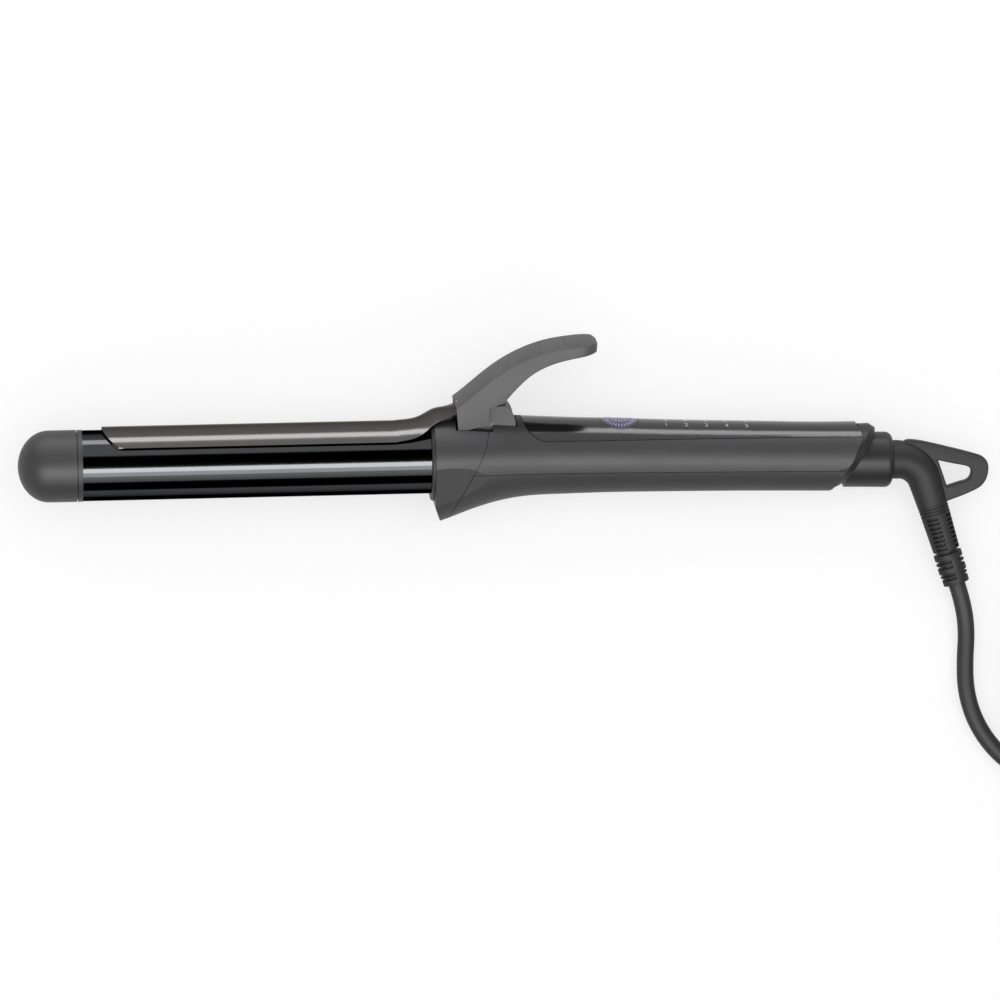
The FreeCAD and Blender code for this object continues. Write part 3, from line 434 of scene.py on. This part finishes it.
parts = []
for name, data in (("outlet_tube", tube_curve), ("outlet_loop", loop_curve)):
    drawn = bpy.data.objects.new(name, data)
    bpy.context.scene.collection.objects.link(drawn)
    only(drawn)
    bpy.ops.object.convert(target="MESH")
    parts.append(bpy.context.active_object)
only(parts[0])
parts[1].select_set(True)
bpy.ops.object.join()
outlet = bpy.context.active_object
outlet.name = "cord_outlet"
bpy.ops.object.mode_set(mode="EDIT")
bpy.ops.mesh.select_all(action="SELECT")
bpy.ops.mesh.remove_doubles(threshold=0.000005)
bpy.ops.mesh.normals_make_consistent(inside=False)
bpy.ops.object.mode_set(mode="OBJECT")
bpy.ops.object.shade_smooth_by_angle(angle=math.radians(40))
settle(outlet, ON_SWIVEL)
adopt(outlet, "swivel", "relief_rubber", "swivel_elbow")
print("outlet", len(outlet.data.polygons), "faces")

# %% [markdown]
# ## Button face and heat marks
#
# The button has a plain ring of raised ticks, and the heat lights are numbered 1 to 5. Each mark
# is set on the crowned surface by casting a ray down the iron's own height onto the piece below.

# %% Marks on the skin
def skin_frame(node, x, y, turn=0.0):
    """A frame on a node's skin: its X turned by an angle, its Z along the surface normal."""
    down = (ON_TABLE.to_3x3() @ Vector((0, 0, -1))).normalized()
    hit, place, normal, _ = NODES[node].ray_cast(iron_point(x, y, 60), down)
    assert hit, (node, x, y)
    ahead = ON_TABLE.to_3x3() @ Vector((math.cos(turn), math.sin(turn), 0))
    ahead = (ahead - normal * ahead.dot(normal)).normalized()
    side = normal.cross(ahead)
    return Matrix((
        (ahead.x, side.x, normal.x, place.x), (ahead.y, side.y, normal.y, place.y),
        (ahead.z, side.z, normal.z, place.z), (0, 0, 0, 1)))


def joined(parts, name):
    only(parts[0])
    for part in parts:
        part.select_set(True)
    bpy.ops.object.join()
    parts[0].name = name
    return parts[0]


BUTTON_X = 73.7
bpy.ops.object.select_all(action="DESELECT")
bpy.ops.mesh.primitive_cube_add(size=1)
tick = bpy.context.active_object
tick.data.transform(Matrix.Diagonal((1.7 * MM, 0.36 * MM, 0.24 * MM, 1)))
bevel(tick, 0.08, 2)
ticks = []
for count, radius in ((30, 5.5), (15, 2.7)):
    for index in range(count):
        turn = 2 * math.pi * index / count
        copy = bpy.data.objects.new("tick", tick.data.copy())
        bpy.context.scene.collection.objects.link(copy)
        settle(copy, skin_frame("power_button", BUTTON_X + radius * math.cos(turn),
                                radius * math.sin(turn), turn))
        ticks.append(copy)
bpy.data.objects.remove(tick)
button_ticks = joined(ticks, "button_ticks")
adopt(button_ticks, "button", "clear_guide")

numerals = []
for index in range(5):
    bpy.ops.object.select_all(action="DESELECT")
    bpy.ops.object.text_add()
    figure = bpy.context.active_object
    figure.data.body = str(index + 1)
    figure.data.size = 3.4 * MM
    figure.data.extrude = 0.06 * MM
    figure.data.align_x = "CENTER"
    figure.data.align_y = "CENTER"
    only(figure)
    bpy.ops.object.convert(target="MESH")
    figure = bpy.context.active_object
    settle(figure, skin_frame("top_panel", 92 + 8 * index, -4.2))
    numerals.append(figure)
heat_marks = joined(numerals, "heat_numerals")
adopt(heat_marks, "handle", "clear_guide")
print(len(ticks), "ticks,", len(numerals), "numerals")

# %% [markdown]
# ## Light
#
# The light is a plain pale dome with a soft lamp overhead, at a level where a colour renders
# about as it is written. Gloss needs something to mirror, as in a maker's studio: long softboxes
# beside the iron give the barrel its bright line, and dark cards between them give it its black
# ones. They act on reflections alone, so they change no colour and cast no shadow.

# %% Dome, key lamp, softboxes and cards
world = bpy.data.worlds.new("dome")
bpy.context.scene.world = world
world.use_nodes = True
dome = world.node_tree.nodes["Background"]
dome.inputs["Color"].default_value = (1, 1, 1, 1)
dome.inputs["Strength"].default_value = 0.6
bpy.context.scene.view_settings.view_transform = "Standard"


def softbox(name, near, far, radiance, length=1.8, distance=1.0):
    """A long lamp over the iron, from one angle off the vertical to another (+ is towards +Y)."""
    middle, half = math.radians((near + far) / 2), math.radians(abs(far - near) / 2)
    width = 2 * distance * math.tan(half)
    lamp = bpy.data.lights.new(name, "AREA")
    lamp.shape = "RECTANGLE"
    lamp.size, lamp.size_y = length, width
    lamp.energy = radiance * math.pi * length * width
    placed = bpy.data.objects.new(name, lamp)
    bpy.context.scene.collection.objects.link(placed)
    placed.location = (0, distance * math.sin(middle), distance * math.cos(middle))
    placed.rotation_euler = (-middle, 0, 0)
    placed.visible_camera = False
    return placed


key = softbox("key_lamp", -26, 30, 0.62, length=2.4, distance=1.6)
key.visible_glossy = False
for name, near, far, radiance in (
        ("line_box", -11, -24, 12), ("line_fade", -24, -37, 5), ("line_end", -37, -56, 1.4),
        ("middle_box", 30, 70, 0.7), ("far_box", 71, 88, 6)):
    softbox(name, near, far, radiance).visible_diffuse = False


def dark_card(name, place, size, tilt):
    """A black card that only reflections see."""
    bpy.ops.mesh.primitive_plane_add(size=1, location=place, rotation=(tilt, 0, 0))
    card = bpy.context.active_object
    card.name = name
    card.scale = (size[0], size[1], 1)
    for kind in ("camera", "diffuse", "shadow", "transmission"):
        setattr(card, "visible_" + kind, False)
    black = bpy.data.materials.new(name)
    black.use_nodes = True
    black.node_tree.nodes["Principled BSDF"].inputs["Base Color"].default_value = (0, 0, 0, 1)
    black.node_tree.nodes["Principled BSDF"].inputs["Specular IOR Level"].default_value = 0
    card.data.materials.append(black)
    return card


dark_card("overhead_card", (0, 0.3, 1.5), (3.2, 1.0), 0)
dark_card("side_card", (0, -1.35, 0.62), (3.2, 1.2), math.pi / 2)

# %% [markdown]
# ## Table
#
# A large plane a hair below the lowest point. Its material shows white to the camera, to mirrors
# and through clear pieces, and takes the object's shadow.

# %% Make the table
bpy.ops.object.select_all(action="DESELECT")
bpy.ops.mesh.primitive_plane_add(size=14, location=(0, 0, -0.0002))
table = bpy.context.active_object
table.name = "table_top"
paper = bpy.data.materials.new("white_table")
paper.use_nodes = True
nodes, links = paper.node_tree.nodes, paper.node_tree.links
shell = nodes["Principled BSDF"]
shell.inputs["Base Color"].default_value = (0.42, 0.42, 0.42, 1)
shell.inputs["Roughness"].default_value = 1
shell.inputs["Specular IOR Level"].default_value = 0
path = nodes.new("ShaderNodeLightPath")
seen = nodes.new("ShaderNodeMath")
seen.operation = "MAXIMUM"
seen_through = nodes.new("ShaderNodeMath")
seen_through.operation = "MAXIMUM"
links.new(path.outputs["Is Camera Ray"], seen.inputs[0])
links.new(path.outputs["Is Glossy Ray"], seen.inputs[1])
links.new(seen.outputs[0], seen_through.inputs[0])
links.new(path.outputs["Is Transmission Ray"], seen_through.inputs[1])
glow = nodes.new("ShaderNodeMath")
glow.operation = "MULTIPLY"
glow.inputs[1].default_value = 0.67
links.new(seen_through.outputs[0], glow.inputs[0])
shell.inputs["Emission Color"].default_value = (1, 1, 1, 1)
links.new(glow.outputs[0], shell.inputs["Emission Strength"])
table.data.materials.append(paper)
print("table", [round(x, 1) for x in table.dimensions])

# %% [markdown]
# ## Finishes
#
# Almost every piece is moulded plastic, rubber or drawn metal. Each finish is a small recipe of
# the same parts: a fine noise for the surface's grain, as bump, and a broad noise that lets the
# colour and the roughness wander a little, as real mouldings do. Metals stretch the fine noise
# along the iron, which reads as brushing. The patterns lie in the object's own coordinates, so
# they stay on the piece from every side.

# %% A recipe for finishes
def make_finish(name, colour, roughness, grain=2600, depth=0.012, metallic=0.0, drift=0.08,
                stretch=(1, 1, 1), speckle=0.0, tint=None, clear=0.0, specular=0.5):
    """A procedural material. grain is cells per metre, depth is in mm, drift is a share."""
    material = bpy.data.materials.new(name)
    material.use_nodes = True
    nodes, links = material.node_tree.nodes, material.node_tree.links
    surface = nodes["Principled BSDF"]
    surface.inputs["Metallic"].default_value = metallic
    surface.inputs["Specular IOR Level"].default_value = specular
    surface.inputs["Transmission Weight"].default_value = clear
    if tint is not None:
        surface.inputs["Specular Tint"].default_value = (*tint, 1)
    place = nodes.new("ShaderNodeTexCoord")
    mapping = nodes.new("ShaderNodeMapping")
    mapping.inputs["Scale"].default_value = stretch
    links.new(place.outputs["Object"], mapping.inputs["Vector"])

    fine = nodes.new("ShaderNodeTexNoise")
    fine.inputs["Scale"].default_value = grain
    fine.inputs["Detail"].default_value = 2
    links.new(mapping.outputs["Vector"], fine.inputs["Vector"])
    bump = nodes.new("ShaderNodeBump")
    bump.inputs["Distance"].default_value = depth * MM
    links.new(fine.outputs["Fac"], bump.inputs["Height"])
    links.new(bump.outputs["Normal"], surface.inputs["Normal"])

    broad = nodes.new("ShaderNodeTexNoise")
    broad.inputs["Scale"].default_value = 55
    broad.inputs["Detail"].default_value = 3
    links.new(place.outputs["Object"], broad.inputs["Vector"])
    blend = nodes.new("ShaderNodeMix")
    blend.data_type = "RGBA"
    blend.inputs[6].default_value = (*[c * (1 - drift) for c in colour], 1)
    blend.inputs[7].default_value = (*[min(1, c * (1 + drift)) for c in colour], 1)
    links.new(broad.outputs["Fac"], blend.inputs["Factor"])
    shade = blend.outputs[2]
    if speckle:
        dots = nodes.new("ShaderNodeTexVoronoi")
        dots.inputs["Scale"].default_value = grain / 4
        links.new(place.outputs["Object"], dots.inputs["Vector"])
        fleck = nodes.new("ShaderNodeMix")
        fleck.data_type = "RGBA"
        fleck.blend_type = "MULTIPLY"
        fleck.inputs["Factor"].default_value = speckle
        links.new(shade, fleck.inputs[6])
        links.new(dots.outputs["Color"], fleck.inputs[7])
        shade = fleck.outputs[2]
    links.new(shade, surface.inputs["Base Color"])

    rough = nodes.new("ShaderNodeMapRange")
    rough.inputs["To Min"].default_value = roughness * 0.88
    rough.inputs["To Max"].default_value = min(1, roughness * 1.12)
    links.new(broad.outputs["Fac"], rough.inputs["Value"])
    links.new(rough.outputs["Result"], surface.inputs["Roughness"])
    return material


# %% [markdown]
# ## One finish for each slot
#
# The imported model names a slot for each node. The colours are the plain colour of the thing, and
# the gloss comes from the roughness. The barrel and its plate are coated metal: dark, mirror-like
# and with an edge that stays dark, which the specular tint gives.

# %% Finishes by slot
ALONG = (0.05, 1, 1)     # brushing runs along the iron
SLOT_FINISHES = {
    "gloss_barrel": dict(colour=(0.046, 0.047, 0.049), roughness=0.1, grain=900, depth=0.0008,
                         metallic=1, drift=0.05, stretch=ALONG, tint=(0.1, 0.1, 0.1)),
    "gloss_plate": dict(colour=(0.085, 0.082, 0.081), roughness=0.15, grain=1200, depth=0.001,
                        metallic=1, drift=0.05, stretch=ALONG, tint=(0.45, 0.43, 0.42)),
    "matte_body": dict(colour=(0.045, 0.045, 0.048), roughness=0.5, specular=0.35),
    "matte_lever": dict(colour=(0.09, 0.09, 0.094), roughness=0.55, grain=3400, depth=0.016,
                        specular=0.35),
    "gloss_panel": dict(colour=(0.012, 0.012, 0.013), roughness=0.16, grain=700, depth=0.0006,
                        drift=0.15),
    "satin_trim": dict(colour=(0.022, 0.022, 0.023), roughness=0.42, grain=2000, depth=0.005,
                       specular=0.25),
    "button_cap": dict(colour=(0.05, 0.045, 0.085), roughness=0.18, grain=1500, depth=0.002),
    "clear_guide": dict(colour=(0.85, 0.86, 0.88), roughness=0.2, grain=1500, depth=0.002,
                        clear=0.6, drift=0.03),
    "inner_plastic": dict(colour=(0.12, 0.12, 0.12), roughness=0.55),
    "bare_aluminium": dict(colour=(0.7, 0.7, 0.72), roughness=0.32, grain=1500, depth=0.004,
                           metallic=1, stretch=ALONG),
    "heater_ceramic": dict(colour=(0.75, 0.73, 0.68), roughness=0.75, grain=2600, speckle=0.12),
    "film": dict(colour=(0.55, 0.3, 0.05), roughness=0.3, grain=800, depth=0.01),
    "sensor_glass": dict(colour=(0.8, 0.7, 0.5), roughness=0.08, grain=900, depth=0.002,
                         clear=0.7),
    "bare_steel": dict(colour=(0.55, 0.55, 0.56), roughness=0.3, grain=2400, depth=0.003,
                       metallic=1, stretch=(1, 0.1, 1)),
    "board_laminate": dict(colour=(0.05, 0.18, 0.08), roughness=0.4, grain=1600, speckle=0.35),
    "board_part_case": dict(colour=(0.06, 0.06, 0.07), roughness=0.5, grain=3000),
    "lead_sleeve": dict(colour=(0.75, 0.74, 0.7), roughness=0.6, grain=3000, depth=0.02),
    "contact_brass": dict(colour=(0.75, 0.6, 0.3), roughness=0.3, grain=2400, depth=0.003,
                          metallic=1, stretch=(0.1, 1, 1)),
    "relief_rubber": dict(colour=(0.02, 0.02, 0.021), roughness=0.55, grain=2800, depth=0.014,
                          specular=0.25),
    "cord_jacket": dict(colour=(0.036, 0.036, 0.038), roughness=0.52, grain=2200, depth=0.014,
                        specular=0.25),
    "tie_plastic": dict(colour=(0.03, 0.03, 0.03), roughness=0.55, grain=2400),
    "plug_plastic": dict(colour=(0.04, 0.04, 0.042), roughness=0.5, grain=2600, depth=0.014,
                         specular=0.35),
    "blade_metal": dict(colour=(0.75, 0.7, 0.6), roughness=0.26, grain=2400, depth=0.003,
                        metallic=1, stretch=ALONG),
}
FINISHES = {slot: make_finish(slot, **recipe) for slot, recipe in SLOT_FINISHES.items()}
print(len(FINISHES), "finishes")

# %% [markdown]
# ## Painting the nodes
#
# Every CAD node keeps its shape and gets the finish of its slot. A new piece gets it in the same
# way, by the slot it names.

# %% Paint every piece
slot_of = {part["node"]: part["material_slot"] for part in frame["record"]["subparts"]}
for name, node in NODES.items():
    finish = FINISHES[slot_of[name]]
    if not node.data.materials:
        node.data.materials.append(finish)
    for index in range(len(node.material_slots)):
        node.material_slots[index].material = finish
cord.data.materials.append(FINISHES["cord_jacket"])
print("painted", len(NODES), "nodes")
for piece, slot in NEW_PIECES:
    piece.data.materials.clear()
    piece.data.materials.append(FINISHES[slot])
NODES["hinge_pin"].material_slots[0].material = make_finish(
    "blackened_steel", (0.03, 0.03, 0.032), 0.4, metallic=0.6)
button_ticks.data.materials[0] = make_finish("lilac_print", (0.6, 0.55, 0.95), 0.35,
                                             grain=1800, depth=0.002)
heat_marks.data.materials[0] = make_finish("pale_print", (0.5, 0.5, 0.52), 0.4,
                                           grain=1800, depth=0.002)
print("painted", len(NEW_PIECES), "new pieces")
